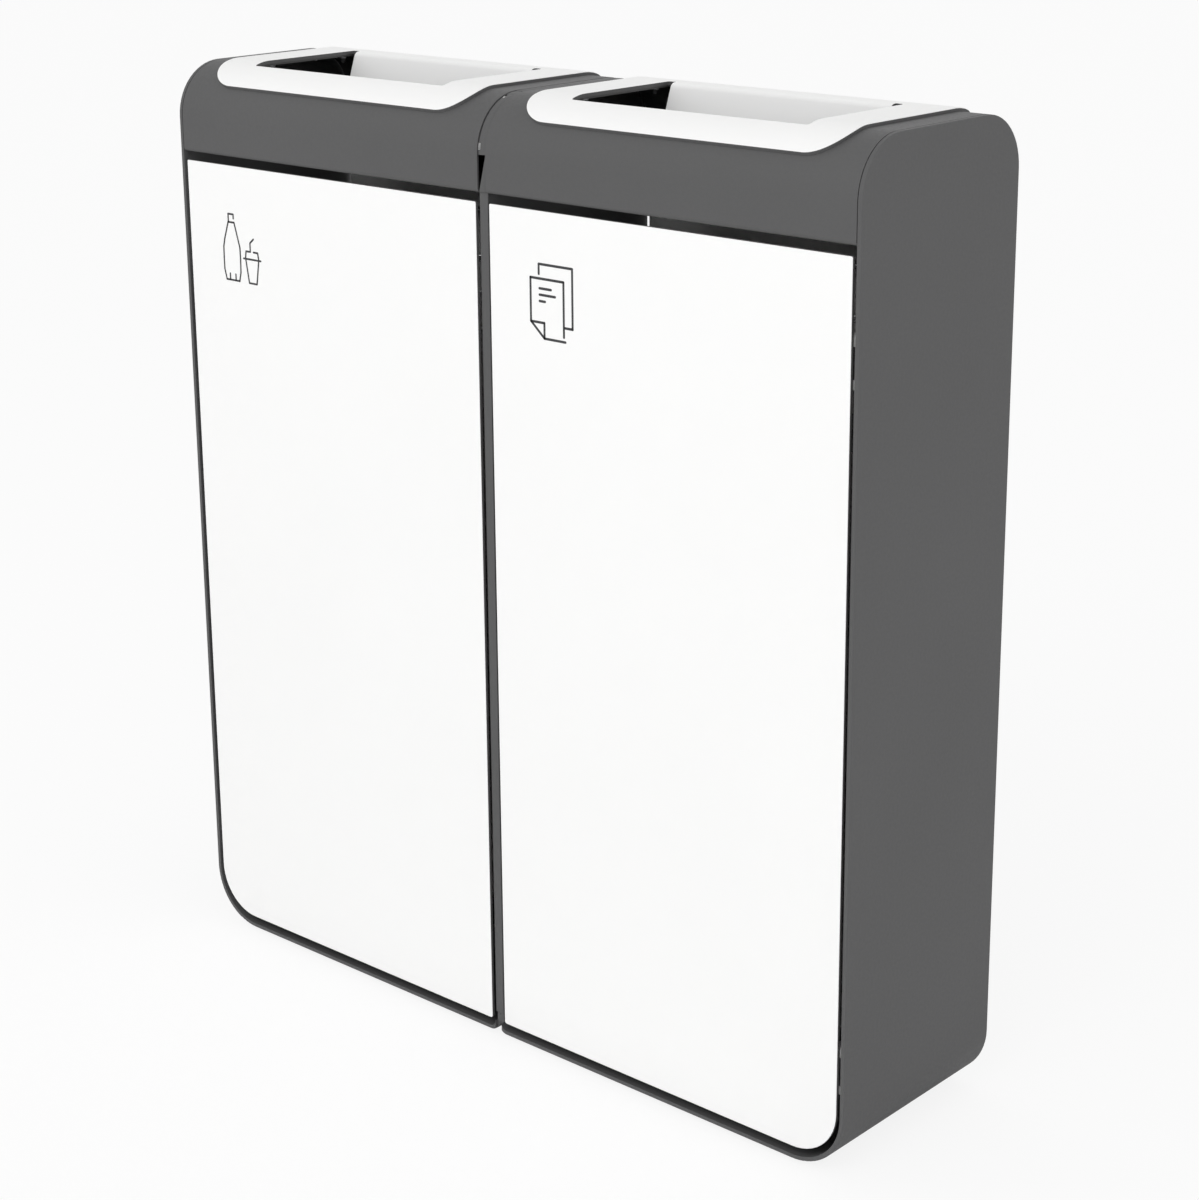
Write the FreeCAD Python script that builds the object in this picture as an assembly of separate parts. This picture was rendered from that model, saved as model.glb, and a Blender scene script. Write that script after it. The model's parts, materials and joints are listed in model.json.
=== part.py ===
import FreeCAD, Part
import math
import os

from FreeCAD import Vector

# Double recycling bin: two slim mirror-image units standing side by side.
# Sizes are millimetres. +X is right, -Y is the front, +Z is up.
# The origin lies at the bottom centre of the pair, on the floor.
# Each unit is drawn as the right-hand one, x counted outward from the seam
# between the units, and is then mirrored for the left-hand one.

# ---- working allowances ----
cut_overrun = 1.0
match = 1e-3

# ---- overall sizes of one unit ----
unit_width = 400.0
unit_depth = 215.0
casing_height = 875.0
glide_height = 3.0

# ---- casing: a base with turned-up ends, an outer wall and a seam wall ----
# The three plates are butt-welded on straight lips above the base's bends.
# The seam wall stands back from the front, the top and the rear, so a
# shallow groove runs round the pair between the units.
wall = 4.0
outer_bottom_radius = 54.0
seam_bottom_radius = 10.0
front_top_radius = 50.0
rear_top_radius = 48.0
casing_edge_round = 1.0
base_lip = 6.0
seam_wall_setback = 3.3
seam_wall_rear_setback = 2.6
seam_wall_edge_round = 0.8

# ---- hood: sheet bent over the top between the walls ----
hood_sheet = 1.5
hood_seam_gap = 0.9
hood_outer_gap = 0.8
hood_front_drop = 82.5
hood_rear_drop = 92.0
hood_lip_depth = 12.0
hood_lip_radius = 3.5

# ---- insert: raised plate with the throw-in opening and its chute flap ----
insert_sheet = 3.2
insert_bed_gap = 0.1
insert_margin = 30.7
insert_corner_radius = 34.0
insert_front_angle = 37.6
insert_rear_angle = 37.6
insert_edge_round = 0.9
insert_overrun = 14.0
insert_waste_depth = 12.8
opening_margin = 75.5
opening_front_setback = 31.7
opening_depth = 120.8
opening_corner_radius = 3.0
opening_clearance = 1.0
flap_relief = 8.0
flap_drop = 76.0
flap_slant = 19.4
flap_bend_radius = 3.0
flap_root = 4.0
insert_stud_radius = 2.0
insert_stud_fit = 0.1
insert_stud_length = 9.0
insert_stud_inset = 29.5
insert_stud_setback = 15.5
insert_stud_rear_setback = 9.5

# ---- door ----
door_thickness = 3.0
door_setback = 0.3
door_side_gap = 4.0
door_bottom_gap = 7.5
door_top_gap = 8.1
door_top_radius = 1.5
door_seam_radius = 2.5
door_edge_round = 0.6

# ---- cranked pin hinges on the seam wall, clear of the round outer corner ----
hinge_edge_inset = 10.0
hinge_axis_depth = 8.0
hinge_pin_radius = 2.0
hinge_pin_head_radius = 3.6
hinge_pin_head_height = 1.5
hinge_pin_tail = 2.0
hinge_eye_radius = 4.3
hinge_plate = 3.0
hinge_pin_fit = 0.02
hinge_run_fit = 0.06
hinge_leaf_play = 0.3
hinge_bracket_height = 36.0
hinge_bracket_reach = 46.0
hinge_neck_width = 5.5
hinge_sweep_clearance = 1.4
hinge_corner_radius = 4.5
hinge_leaf_step = 1.5
hinge_leaf_length = 44.0
hinge_arm_shoulder = 6.0
hinge_arm_end = 8.0
hinge_end_inset = 100.0

# ---- door stiffener: hat channel on the back of the door ----
stiffener_flange = 12.0
stiffener_crown = 22.0
stiffener_depth = 9.0
stiffener_slope = 3.2
stiffener_sheet = 1.2
stiffener_radius = 1.6
stiffener_end_inset = 55.0

# ---- magnetic catches, strike plates and door buffers on the outer wall ----
catch_width = 12.0
catch_height = 44.0
catch_length = 18.0
catch_corner = 2.0
magnet_width = 6.0
magnet_height = 26.0
magnet_length = 5.0
magnet_proud = 0.5
strike_width = 22.0
strike_height = 52.0
strike_sheet = 1.2
strike_gap = 0.3
strike_edge_inset = 1.5
strike_corner = 3.0
catch_end_inset = 84.0
buffer_radius = 5.0
buffer_height = 3.5
buffer_edge_round = 1.2
buffer_gap = 0.3
buffer_tab_width = 16.0
buffer_tab_height = 30.0
buffer_tab_sheet = 2.0
buffer_tab_overhang = 2.0
buffer_end_inset = 140.0

# ---- bag frame: bent round bar that hinges up at the back ----
bag_bar_radius = 3.0
bag_bar_drop = 54.4
bag_bar_side_gap = 7.0
bag_bar_corner = 24.0
bag_bar_front_gap = 14.2
bag_bar_back_gap = 9.0
hanger_plate = 3.0
hanger_eye_radius = 6.5
hanger_run_fit = 0.08
hanger_inset = 60.0
hanger_foot_height = 30.0
hanger_foot_width = 18.0
hanger_foot_sheet = 2.0
hanger_shoulder = 5.8
hanger_toe = 4.0
rest_width = 12.0
rest_length = 20.0
rest_sheet = 2.0
rest_leg = 22.0
rest_bend_radius = 3.0
rest_gap = 0.3
rest_setback = 52.0

# ---- rails under the hood, welded to the walls ----
rail_sheet = 2.0
rail_flange = 44.0
rail_leg = 18.0
rail_bend_radius = 3.0
rail_setback = 13.5
rail_screw_inset = 36.0
rail_screw_setback = 14.0

# ---- back panel, its tabs and screws ----
back_sheet = 1.5
back_side_gap = 2.9
back_floor_gap = 1.0
back_lap = 24.0
back_lap_gap = 0.3
back_top_radius = 3.0
tab_length = 34.0
tab_flange = 16.0
tab_leg = 20.0
tab_sheet = 2.0
tab_bend_radius = 3.0
tab_screw_inset = 10.0
tab_lower_rise = 103.0
tab_upper_drop = 96.0
wall_hole_radius = 2.75
wall_hole_rise = 133.0
wall_hole_drop = 86.0

# ---- small fasteners ----
screw_radius = 2.0
screw_head_radius = 3.8
screw_head_height = 1.4
screw_length = 7.0
screw_fit = 0.05
nut_width = 7.0
nut_height = 3.2
bolt_radius = 3.0
bolt_head_width = 10.0
bolt_head_height = 4.0
bolt_nut_height = 4.0
bolt_tail = 0.6
bolt_fit = 0.2
bolt_lower_rise = 53.0
bolt_upper_drop = 58.0
bolt_setback = 45.5

# ---- glides under the floor ----
glide_radius = 13.0
glide_edge_round = 1.2
glide_stem_radius = 3.0
glide_stem_length = 6.5
glide_inset_seam = 40.0
glide_inset_outer = 78.0
glide_setback = 31.5

# ---- places worked out from the sizes above ----
front = -unit_depth / 2
rear = unit_depth / 2
casing_bottom = glide_height
casing_top = casing_bottom + casing_height
floor_top = casing_bottom + wall
seam_face = wall
outer_face = unit_width - wall
seam_joint = casing_bottom + seam_bottom_radius + base_lip
outer_joint = casing_bottom + outer_bottom_radius + base_lip
seam_wall_front = front + seam_wall_setback
seam_wall_rear = rear - seam_wall_rear_setback
seam_wall_top = casing_top - seam_wall_setback
front_arc_y = front + front_top_radius
front_arc_z = casing_top - front_top_radius
rear_arc_y = rear - rear_top_radius
rear_arc_z = casing_top - rear_top_radius
hood_seam_edge = seam_face + hood_seam_gap
hood_outer_edge = outer_face - hood_outer_gap
hood_front_bottom = casing_top - hood_front_drop
hood_rear_bottom = casing_top - hood_rear_drop
hood_under = casing_top - hood_sheet
insert_under = casing_top + insert_bed_gap
insert_top = insert_under + insert_sheet
opening_seam = opening_margin
opening_outer = unit_width - opening_margin
opening_front = front + opening_front_setback
opening_rear = opening_front + opening_depth
flap_start = opening_rear + flap_bend_radius + insert_sheet
door_seam_edge = seam_face + door_side_gap
door_outer_edge = outer_face - door_side_gap
door_bottom = floor_top + door_bottom_gap
door_top = hood_front_bottom - door_top_gap
door_front = front + door_setback
door_back = door_front + door_thickness
door_outer_radius = outer_bottom_radius - wall - door_side_gap
hinge_x = door_seam_edge + hinge_edge_inset
hinge_y = front + hinge_axis_depth
hinge_sweep = math.hypot(hinge_edge_inset, hinge_axis_depth)
back_outer = rear - hood_sheet - back_lap_gap
back_inner = back_outer - back_sheet
tab_heights = (
    floor_top + tab_lower_rise,
    (floor_top + tab_lower_rise + hood_rear_bottom - tab_upper_drop) / 2,
    hood_rear_bottom - tab_upper_drop,
)
wall_hole_heights = (floor_top + wall_hole_rise, hood_rear_bottom - wall_hole_drop)
bag_bar_rear = back_inner - bag_bar_back_gap
bag_bar_front = door_back + bag_bar_front_gap
bag_bar_height = door_top - bag_bar_drop
hinge_upper_height = door_top - hinge_end_inset
hinge_lower_height = door_bottom + hinge_end_inset
catch_heights = (door_bottom + catch_end_inset, door_top - catch_end_inset)
buffer_heights = (door_bottom + buffer_end_inset, door_top - buffer_end_inset)
stiffener_bottom = door_bottom + stiffener_end_inset
stiffener_top = door_top - stiffener_end_inset
rail_front = front_arc_y + rail_setback
rail_rear = rear_arc_y - rail_setback
insert_stud_front = front_arc_y + insert_stud_setback
insert_stud_rear = rear_arc_y - insert_stud_rear_setback
bolt_heights = (floor_top + bolt_lower_rise, casing_top - bolt_upper_drop)
bolt_depths = (front + bolt_setback, rear - bolt_setback)
glide_depths = (front + glide_setback, rear - glide_setback)


def vec(x, y, z):
    return Vector(x, y, z)


upward = vec(0, 0, 1)
outward = vec(1, 0, 0)
rearward = vec(0, 1, 0)


def on_yz(x):
    """Place a flat outline of (y, z) pairs on the plane at x."""
    return lambda a, b: vec(x, a, b)


def on_xz(y):
    return lambda a, b: vec(a, y, b)


def on_xy(z):
    return lambda a, b: vec(a, b, z)


def rounded_wire(corners, place, closed=True):
    """Lines and tangent arcs through corners given as (a, b, radius)."""
    count = len(corners)
    joints = []
    for index, (a, b, radius) in enumerate(corners):
        here = Vector(a, b, 0)
        if radius == 0 or (not closed and index in (0, count - 1)):
            joints.append((here, None, here))
            continue
        before = Vector(*corners[index - 1][:2], 0)
        after = Vector(*corners[(index + 1) % count][:2], 0)
        to_before = (before - here).normalize()
        to_after = (after - here).normalize()
        half = to_before.getAngle(to_after) / 2
        trim = radius / math.tan(half)
        bisector = (to_before + to_after).normalize()
        middle = here + bisector * (radius / math.sin(half) - radius)
        joints.append((here + to_before * trim, middle, here + to_after * trim))
    edges = []
    for index, (start, middle, end) in enumerate(joints):
        if middle is not None:
            arc = Part.Arc(place(start.x, start.y), place(middle.x, middle.y), place(end.x, end.y))
            edges.append(arc.toShape())
        if index == count - 1 and not closed:
            break
        following = joints[(index + 1) % count][0]
        if (following - end).Length > match:
            edges.append(Part.makeLine(place(end.x, end.y), place(following.x, following.y)))
    return Part.Wire(edges)


def rounded_prism(corners, place, sweep):
    """A solid drawn from a closed outline with rounded corners."""
    return Part.Face(rounded_wire(corners, place)).extrude(sweep)


def offset_path(path, distance):
    """Shift an open path of (a, b, radius) to its left by distance."""
    points = [Vector(a, b, 0) for a, b, radius in path]
    normals = []
    for start, end in zip(points, points[1:]):
        along = (end - start).normalize()
        normals.append(Vector(-along.y, along.x, 0))
    shifted = [points[0] + normals[0] * distance]
    for index in range(1, len(points) - 1):
        one, two = normals[index - 1], normals[index]
        mitre = (one + two).normalize()
        shifted.append(points[index] + mitre * (distance / mitre.dot(one)))
    shifted.append(points[-1] + normals[-1] * distance)
    result = []
    for index, point in enumerate(shifted):
        radius = path[index][2]
        if 0 < index < len(path) - 1 and radius > 0:
            turn = normals[index - 1].x * normals[index].y - normals[index - 1].y * normals[index].x
            radius = radius - distance if turn > 0 else radius + distance
        result.append((point.x, point.y, radius))
    return result


def bent_sheet(path, thickness, place, sweep):
    """Sheet of one thickness, bent along a path and drawn out by sweep.

    Radii belong to the drawn face; the sheet lies to the left of the path.
    """
    back = offset_path(path, thickness)
    outline = list(path) + list(reversed(back))
    return rounded_prism(outline, place, sweep)


def box(low, high):
    size = Vector(*high) - Vector(*low)
    return Part.makeBox(size.x, size.y, size.z, Vector(*low))


def rod(radius, base, direction, length):
    return Part.makeCylinder(radius, length, base, direction)


def through_hole(radius, base, direction, length):
    """Round cutter that runs past both faces of what it cuts."""
    return rod(radius, base - direction * cut_overrun, direction, length + 2 * cut_overrun)


def hexagon(width, base, direction, height):
    """Hexagonal prism across flats, standing on base along direction."""
    corner = width / math.sqrt(3)
    side = outward if direction == upward else upward
    across = direction.cross(side)
    points = []
    for index in range(6):
        angle = math.radians(60 * index)
        points.append(base + side * (corner * math.cos(angle)) + across * (corner * math.sin(angle)))
    return Part.Face(Part.makePolygon(points + points[:1])).extrude(direction * height)


def joined(shapes):
    """Fuse pieces that touch into one clean solid."""
    result = shapes[0].fuse(shapes[1:]) if len(shapes) > 1 else shapes[0]
    return result.removeSplitter()


def group(shapes):
    return Part.makeCompound(shapes)


# ---- casing ----
def top_profile(x_start, x_end):
    """The side view of the unit, drawn from one x to another."""
    corners = [
        (front, casing_bottom, 0),
        (front, casing_top, front_top_radius),
        (rear, casing_top, rear_top_radius),
        (rear, casing_bottom, 0),
    ]
    return rounded_prism(corners, on_yz(x_start), vec(x_end - x_start, 0, 0))


def on_outer_skin(point):
    """True on the outside of the bent plates, seen from the front."""
    if abs(point.x) < match or abs(point.x - unit_width) < match or abs(point.z - casing_bottom) < match:
        return True
    seam_arc = math.hypot(point.x - seam_bottom_radius, point.z - casing_bottom - seam_bottom_radius)
    outer_x = unit_width - outer_bottom_radius
    outer_arc = math.hypot(point.x - outer_x, point.z - casing_bottom - outer_bottom_radius)
    in_seam_corner = point.x < seam_bottom_radius and point.z < casing_bottom + seam_bottom_radius
    in_outer_corner = point.x > outer_x and point.z < casing_bottom + outer_bottom_radius
    on_seam_arc = in_seam_corner and abs(seam_arc - seam_bottom_radius) < match
    on_outer_arc = in_outer_corner and abs(outer_arc - outer_bottom_radius) < match
    return on_seam_arc or on_outer_arc


def on_side_view_edge(point):
    """True on the outline of the side view: front, top, rear and their arcs."""
    if abs(point.y - front) < match or abs(point.y - rear) < match or abs(point.z - casing_top) < match:
        return True
    front_arc = math.hypot(point.y - front_arc_y, point.z - front_arc_z)
    rear_arc = math.hypot(point.y - rear_arc_y, point.z - rear_arc_z)
    on_front = point.y < front_arc_y and point.z > front_arc_z and abs(front_arc - front_top_radius) < match
    on_rear = point.y > rear_arc_y and point.z > rear_arc_z and abs(rear_arc - rear_top_radius) < match
    return on_front or on_rear


def middle_of(edge):
    first, last = edge.ParameterRange
    return edge.valueAt((first + last) / 2)


def casing_shell():
    """Base and outer wall in one, before they are parted at the weld."""
    path = [
        (0, seam_joint, 0),
        (0, casing_bottom, seam_bottom_radius),
        (unit_width, casing_bottom, outer_bottom_radius),
        (unit_width, casing_top, 0),
    ]
    plate = bent_sheet(path, wall, on_xz(front), vec(0, unit_depth, 0))
    body = plate.common(top_profile(0, unit_width))
    past = cut_overrun
    body = body.cut([
        box((-past, front - past, 0), (wall, seam_wall_front, seam_joint + past)),
        box((-past, seam_wall_rear, 0), (wall, rear + past, seam_joint + past)),
    ])
    rim = [e for e in body.Edges if on_outer_skin(middle_of(e)) and on_side_view_edge(middle_of(e))]
    return body.makeFillet(casing_edge_round, rim)


def above_outer_joint():
    past = cut_overrun
    return box((unit_width / 2, front - past, outer_joint), (unit_width + past, rear + past, casing_top + past))


def outer_wall():
    return casing_shell().common(above_outer_joint())


def base():
    holes = []
    for x, y in glide_places():
        holes.append(through_hole(glide_stem_radius + screw_fit, vec(x, y, casing_bottom), upward, wall))
    return casing_shell().cut([above_outer_joint()] + holes)


def seam_wall():
    corners = [
        (seam_wall_front, seam_joint, 0),
        (seam_wall_front, seam_wall_top, front_top_radius - seam_wall_setback),
        (seam_wall_rear, seam_wall_top, rear_top_radius - seam_wall_setback),
        (seam_wall_rear, seam_joint, 0),
    ]
    plate = rounded_prism(corners, on_yz(0), vec(wall, 0, 0))
    rim = [e for e in plate.Edges if abs(middle_of(e).x) < match and middle_of(e).z > seam_joint + match]
    plate = plate.makeFillet(seam_wall_edge_round, rim)
    holes = []
    for y in bolt_depths:
        for z in bolt_heights:
            holes.append(through_hole(bolt_radius + bolt_fit, vec(0, y, z), outward, wall))
    return plate.cut(holes)


# ---- hood ----
def hood_path():
    return [
        (front + hood_lip_depth, hood_front_bottom, 0),
        (front, hood_front_bottom, hood_lip_radius),
        (front, casing_top, front_top_radius),
        (rear, casing_top, rear_top_radius),
        (rear, hood_rear_bottom, 0),
    ]


def rail_screw_places():
    places = []
    for x in (seam_face + rail_screw_inset, outer_face - rail_screw_inset):
        for y in (rail_front + rail_screw_setback, rail_rear - rail_screw_setback):
            places.append((x, y))
    return places


def stud_places():
    places = []
    for x in (insert_margin + insert_stud_inset, unit_width - insert_margin - insert_stud_inset):
        for y in (insert_stud_front, insert_stud_rear):
            places.append((x, y))
    return places


def hood():
    reversed_path = list(reversed(hood_path()))
    width = hood_outer_edge - hood_seam_edge
    sheet = bent_sheet(reversed_path, hood_sheet, on_yz(hood_seam_edge), vec(width, 0, 0))
    slack = opening_clearance
    mouth = box((opening_seam - slack, opening_front - slack, hood_front_bottom),
                (opening_outer + slack, flap_start + slack, insert_top))
    cuts = [mouth]
    for x, y in rail_screw_places():
        cuts.append(countersunk(x, y, screw_radius + screw_fit, screw_head_radius + screw_fit))
    for x, y in stud_places():
        cuts.append(through_hole(insert_stud_radius + insert_stud_fit, vec(x, y, hood_under), upward,
                                 hood_sheet))
    return sheet.cut(cuts)


def countersunk(x, y, radius, head_radius):
    """A countersunk screw standing head up with its head at the hood's top."""
    head = Part.makeCone(radius, head_radius, screw_head_height, vec(x, y, casing_top - screw_head_height))
    shank = rod(radius, vec(x, y, casing_top - screw_length), upward, screw_length - screw_head_height)
    return joined([shank, head])


# ---- insert with its throw-in opening and chute flap ----
def cosine_and_sine(degrees):
    angle = math.radians(degrees)
    return math.cos(angle), math.sin(angle)


def insert_side_view(inner, outer):
    """Closed side view of the raised plate between two offsets."""
    front_angle = insert_front_angle - math.degrees(insert_overrun / front_top_radius / 2)
    rear_angle = insert_rear_angle - math.degrees(insert_overrun / rear_top_radius / 2)
    cos_front, sin_front = cosine_and_sine(front_angle)
    cos_rear, sin_rear = cosine_and_sine(rear_angle)
    cos_half_front, sin_half_front = cosine_and_sine((front_angle + 90) / 2)
    cos_half_rear, sin_half_rear = cosine_and_sine((rear_angle + 90) / 2)

    def front_point(cosine, sine, offset):
        radius = front_top_radius + offset
        return vec(0, front_arc_y - radius * cosine, front_arc_z + radius * sine)

    def rear_point(cosine, sine, offset):
        radius = rear_top_radius + offset
        return vec(0, rear_arc_y + radius * cosine, rear_arc_z + radius * sine)

    edges = []
    for offset in (inner, outer):
        start = front_point(cos_front, sin_front, offset)
        crest = vec(0, front_arc_y, casing_top + offset)
        edges.append(Part.Arc(start, front_point(cos_half_front, sin_half_front, offset), crest).toShape())
        turn = vec(0, rear_arc_y, casing_top + offset)
        edges.append(Part.makeLine(crest, turn))
        end = rear_point(cos_rear, sin_rear, offset)
        edges.append(Part.Arc(turn, rear_point(cos_half_rear, sin_half_rear, offset), end).toShape())
    edges.append(Part.makeLine(front_point(cos_front, sin_front, inner),
                               front_point(cos_front, sin_front, outer)))
    edges.append(Part.makeLine(rear_point(cos_rear, sin_rear, inner),
                               rear_point(cos_rear, sin_rear, outer)))
    return Part.Face(Part.Wire(Part.__sortEdges__(edges)))


def end_cutter(centre_y, centre_z, radius, start_angle, toward):
    """Waste beyond one rounded end of the raised plate.

    The outline is drawn on the tangent plane half way round the bend, where
    the curved sheet and its flat pattern agree to well under a millimetre.
    """
    half_turn = insert_corner_radius / radius / 2
    tilt = math.radians(start_angle) + half_turn
    normal = vec(0, toward * math.cos(tilt), math.sin(tilt))
    up = vec(0, -toward * math.sin(tilt), math.cos(tilt))
    middle = vec(0, centre_y, centre_z) + normal * (radius - insert_waste_depth)
    low = -radius * math.sin(half_turn)
    beyond = low - insert_overrun
    corner = insert_corner_radius
    side = corner * (1 - math.sqrt(0.5))
    shoulder = low + corner

    def near(a, b):
        return middle + up * b + vec(insert_margin + a, 0, 0)

    def far(a, b):
        return middle + up * b + vec(unit_width - insert_margin - a, 0, 0)

    outside = -insert_margin / 2
    edges = [
        Part.Arc(near(0, shoulder), near(side, low + side), near(corner, low)).toShape(),
        Part.makeLine(near(corner, low), far(corner, low)),
        Part.Arc(far(corner, low), far(side, low + side), far(0, shoulder)).toShape(),
        Part.makeLine(far(0, shoulder), far(outside, shoulder)),
        Part.makeLine(far(outside, shoulder), far(outside, beyond)),
        Part.makeLine(far(outside, beyond), near(outside, beyond)),
        Part.makeLine(near(outside, beyond), near(outside, shoulder)),
        Part.makeLine(near(outside, shoulder), near(0, shoulder)),
    ]
    return Part.Face(Part.Wire(edges)).extrude(normal * 2 * insert_waste_depth)


def flap_path():
    """Top face of the tongue bent down at the rear of the opening."""
    slant = math.radians(flap_slant)
    bend_radius = flap_bend_radius + insert_sheet
    crest_y = opening_rear
    end_y = crest_y - flap_drop * math.tan(slant)
    return [
        (end_y, insert_top - flap_drop, 0),
        (crest_y, insert_top, bend_radius),
        (crest_y + bend_radius + flap_root, insert_top, 0),
    ]


def insert():
    width = unit_width - 2 * insert_margin
    section = insert_side_view(insert_bed_gap, insert_bed_gap + insert_sheet)
    section.translate(vec(insert_margin, 0, 0))
    plate = section.extrude(vec(width, 0, 0))
    front_outer = front_top_radius + insert_bed_gap + insert_sheet
    rear_outer = rear_top_radius + insert_bed_gap + insert_sheet
    plate = plate.cut([
        end_cutter(front_arc_y, front_arc_z, front_outer, insert_front_angle, -1),
        end_cutter(rear_arc_y, rear_arc_z, rear_outer, insert_rear_angle, 1),
    ])
    rim = [e for e in plate.Edges if on_insert_rim(e)]
    plate = plate.makeFillet(insert_edge_round, rim)
    mouth = rounded_prism(
        [
            (opening_seam, opening_front, opening_corner_radius),
            (opening_outer, opening_front, opening_corner_radius),
            (opening_outer, flap_start, opening_corner_radius),
            (opening_seam, flap_start, opening_corner_radius),
        ],
        on_xy(front_arc_z), vec(0, 0, 2 * front_top_radius),
    )
    plate = plate.cut(mouth)
    flap_width = opening_outer - opening_seam - 2 * flap_relief
    flap = bent_sheet(list(reversed(flap_path())), insert_sheet,
                      on_yz(opening_seam + flap_relief), vec(flap_width, 0, 0))
    studs = []
    for x, y in stud_places():
        studs.append(rod(insert_stud_radius, vec(x, y, insert_under - insert_stud_length), upward,
                         insert_stud_length + insert_sheet / 2))
    return joined([plate, flap] + studs)


def on_insert_rim(edge):
    """Edges round the outside of the plate, on its upper face."""
    point = middle_of(edge)
    offset = insert_bed_gap + insert_sheet
    if point.y < front_arc_y:
        height = math.hypot(point.y - front_arc_y, point.z - front_arc_z) - front_top_radius
    elif point.y > rear_arc_y:
        height = math.hypot(point.y - rear_arc_y, point.z - rear_arc_z) - rear_top_radius
    else:
        height = point.z - casing_top
    if abs(height - offset) > match:
        return False
    across_plate = abs(edge.lastVertex().X - edge.firstVertex().X) > unit_width / 2
    at_bend_start = abs(point.y - front_arc_y) < match or abs(point.y - rear_arc_y) < match
    return not (across_plate and at_bend_start)


def insert_nuts():
    nuts = []
    for x, y in stud_places():
        base = vec(x, y, hood_under - nut_height)
        nut = hexagon(nut_width, base, upward, nut_height)
        nuts.append(nut.cut(through_hole(insert_stud_radius + screw_fit, base, upward, nut_height)))
    return group(nuts)


# ---- hood rails and their screws ----
def hood_rail(seam_side):
    edge = seam_face if seam_side else outer_face
    inward = 1 if seam_side else -1
    path = [
        (edge, hood_under - rail_leg, 0),
        (edge, hood_under, rail_bend_radius),
        (edge + inward * rail_flange, hood_under, 0),
    ]
    thickness = -rail_sheet if seam_side else rail_sheet
    rail = bent_sheet(path, thickness, on_xz(rail_front), vec(0, rail_rear - rail_front, 0))
    holes = []
    for x, y in rail_screw_places():
        holes.append(through_hole(screw_radius + screw_fit, vec(x, y, hood_under - rail_sheet), upward,
                                  rail_sheet))
    return rail.cut(holes)


def hood_screws():
    return group([countersunk(x, y, screw_radius, screw_head_radius) for x, y in rail_screw_places()])


# ---- back panel ----
def back_screw_places():
    places = []
    for x in (seam_face + tab_screw_inset, outer_face - tab_screw_inset):
        for z in tab_heights:
            places.append((x, z))
    return places


def back_panel():
    low = floor_top + back_floor_gap
    high = hood_rear_bottom + back_lap
    corners = [
        (seam_face + back_side_gap, low, seam_bottom_radius - wall),
        (outer_face - back_side_gap, low, outer_bottom_radius - wall),
        (outer_face - back_side_gap, high, back_top_radius),
        (seam_face + back_side_gap, high, back_top_radius),
    ]
    sheet = rounded_prism(corners, on_xz(back_inner), vec(0, back_sheet, 0))
    holes = []
    for x, z in back_screw_places():
        holes.append(through_hole(screw_radius + screw_fit, vec(x, back_inner, z), rearward, back_sheet))
    for z in wall_hole_heights:
        holes.append(through_hole(wall_hole_radius, vec(unit_width / 2, back_inner, z), rearward,
                                  back_sheet))
    return sheet.cut(holes)


def back_tabs():
    """Small angles welded to the walls that the back panel screws to."""
    tabs = []
    holes = []
    for x, z in back_screw_places():
        holes.append(through_hole(screw_radius + screw_fit, vec(x, back_inner - tab_sheet, z), rearward,
                                  tab_sheet))
    for edge, inward, thickness in ((seam_face, 1, -tab_sheet), (outer_face, -1, tab_sheet)):
        for z in tab_heights:
            path = [
                (edge, back_inner - tab_leg, 0),
                (edge, back_inner, tab_bend_radius),
                (edge + inward * tab_flange, back_inner, 0),
            ]
            tab = bent_sheet(path, thickness, on_xy(z - tab_length / 2), vec(0, 0, tab_length))
            tabs.append(tab.cut(holes))
    return group(tabs)


def back_screws():
    screws = []
    for x, z in back_screw_places():
        shank = rod(screw_radius, vec(x, back_outer - screw_length, z), rearward, screw_length)
        head = rod(screw_head_radius, vec(x, back_outer, z), rearward, screw_head_height)
        screws.append(joined([shank, head]))
    return group(screws)


# ---- door ----
def door():
    corners = [
        (door_seam_edge, door_bottom, door_seam_radius),
        (door_outer_edge, door_bottom, door_outer_radius),
        (door_outer_edge, door_top, door_top_radius),
        (door_seam_edge, door_top, door_top_radius),
    ]
    panel = rounded_prism(corners, on_xz(door_front), vec(0, door_thickness, 0))
    rim = [e for e in panel.Edges if abs(middle_of(e).y - door_front) < match]
    return panel.makeFillet(door_edge_round, rim)


def door_stiffener():
    centre = (door_seam_edge + door_outer_edge) / 2
    half = stiffener_crown / 2
    slope = stiffener_slope
    path = [
        (centre - half - slope - stiffener_flange, door_back, 0),
        (centre - half - slope, door_back, stiffener_radius),
        (centre - half, door_back + stiffener_depth, stiffener_radius + stiffener_sheet),
        (centre + half, door_back + stiffener_depth, stiffener_radius + stiffener_sheet),
        (centre + half + slope, door_back, stiffener_radius),
        (centre + half + slope + stiffener_flange, door_back, 0),
    ]
    lifted = [(a, b + (stiffener_sheet if b == door_back else 0), radius) for a, b, radius in path]
    height = stiffener_top - stiffener_bottom
    return bent_sheet(lifted, -stiffener_sheet, on_xy(stiffener_bottom), vec(0, 0, height))


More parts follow.
